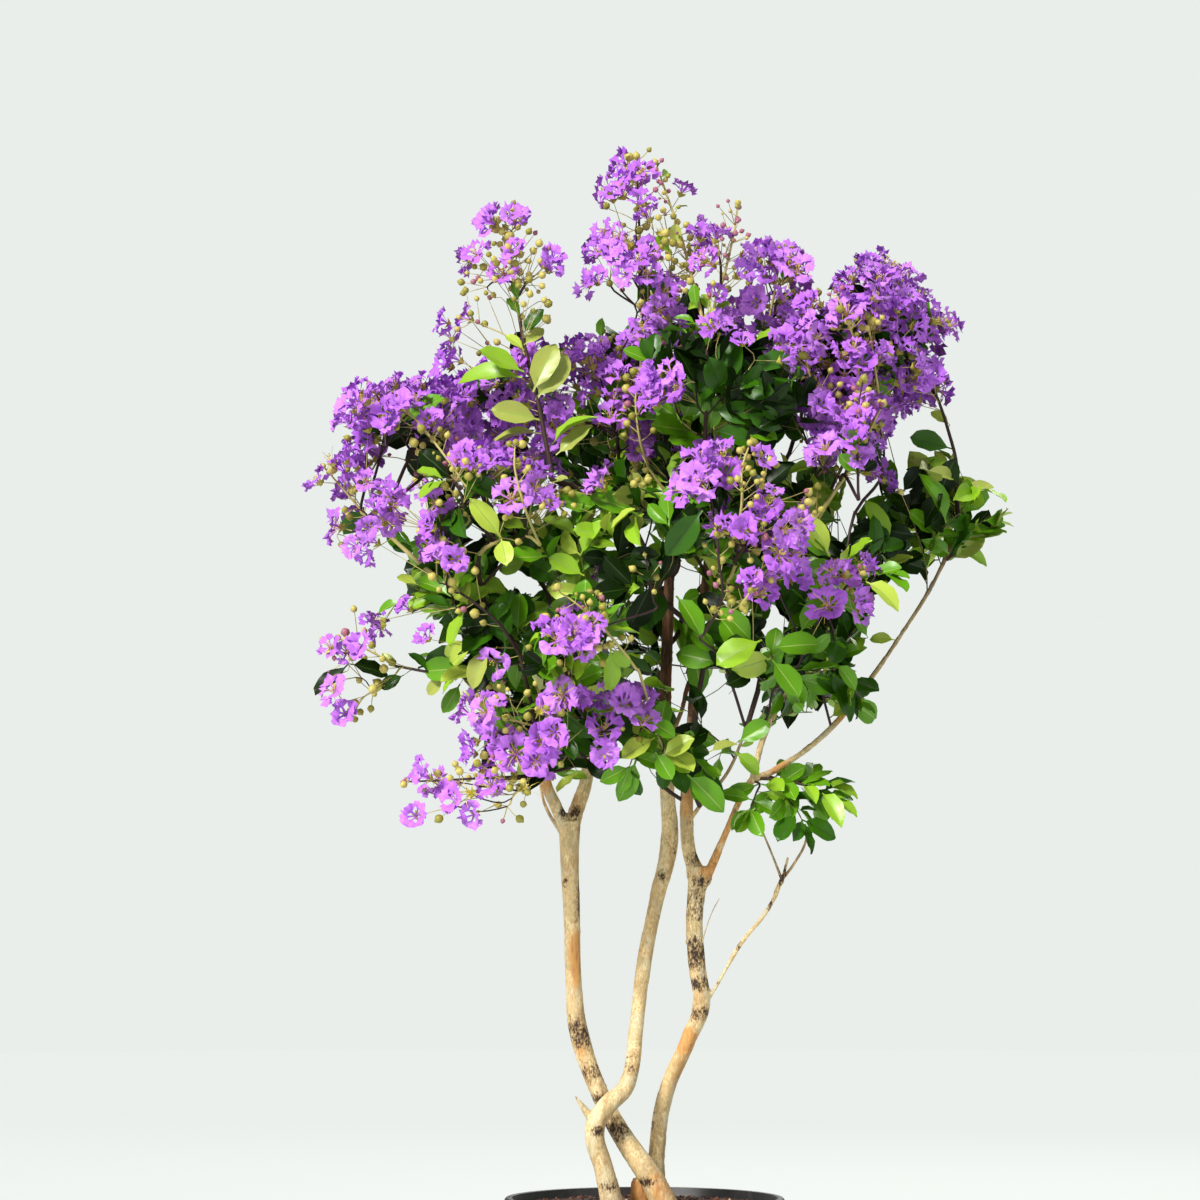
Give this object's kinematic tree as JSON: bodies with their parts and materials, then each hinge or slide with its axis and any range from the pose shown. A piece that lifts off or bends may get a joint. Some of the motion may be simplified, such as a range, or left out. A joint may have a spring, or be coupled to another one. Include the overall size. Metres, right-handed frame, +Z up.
{
  "type": "potted crape myrtle tree",
  "caption": "Young crape myrtle in a round black nursery pot, with bare twisting stems, glossy green leaves and a crown of violet flower clusters.",
  "frame": {"origin": "centre of the pot's flat underside", "axes": "+Z up along the pot's axis, +X to the right of the front view, -Y toward the front"},
  "size_m": [0.635, 0.456, 1.166],
  "materials": {
    "pot": "black moulded plastic, satin",
    "soil": "damp dark potting mix",
    "bark": "smooth peeling bark, cream with tan and dark blotches",
    "bloom": "soft violet petals",
    "leaf": "glossy green leaves"
  },
  "bodies": {
    "root": {"pot": "pot", "soil": "soil", "stem_left": "bark", "stem_middle": "bark", "stem_right": "bark", "cut_stump": "bark", "left_outer_limb": "bark", "left_inner_limb": "bark", "left_twig": "bark", "middle_stub": "bark", "upright_limb": "bark", "spreading_limb": "bark", "inner_riser": "bark", "far_right_bough": "bark", "side_branch": "bark", "side_twig_left": "bark", "side_twig_right": "bark", "side_stub": "bark", "low_cross_twig": "bark", "crossing_branch": "bark", "spire_shoot": "bark", "spray_shoot": "bark", "spire_left": "bloom", "shoot_leaves": "leaf", "bloom_left_shoulder": "bloom", "bloom_left_crest": "bloom", "bloom_left_tip": "bloom", "bloom_left_mid": "bloom", "spray_left_low": "bloom", "leaves_left": "leaf", "bloom_front_left": "bloom", "bloom_low_left": "bloom", "bloom_lowest_left": "bloom", "spire_top": "bloom", "spire_top_small": "bloom", "bloom_top_right": "bloom", "bloom_right": "bloom", "bloom_right_lower": "bloom", "bloom_front_right": "bloom", "bloom_small_right": "bloom", "leaves_centre_top": "leaf", "leaves_right_tip": "leaf", "leaves_right_mid": "leaf", "leaves_centre": "leaf", "leaves_right_low": "leaf", "leaves_centre_low": "leaf", "leaves_low_right": "leaf", "bloom_centre": "bloom", "back_bloom_left": "bloom", "back_bloom_top": "bloom", "back_bloom_right": "bloom", "back_leaves_left": "leaf", "back_leaves_high": "leaf", "back_leaves_right": "leaf", "back_bloom_low": "bloom", "back_leaves_low": "leaf", "back_leaves_lower_right": "leaf", "core_leaves": "leaf"}
  },
  "joints": []
}
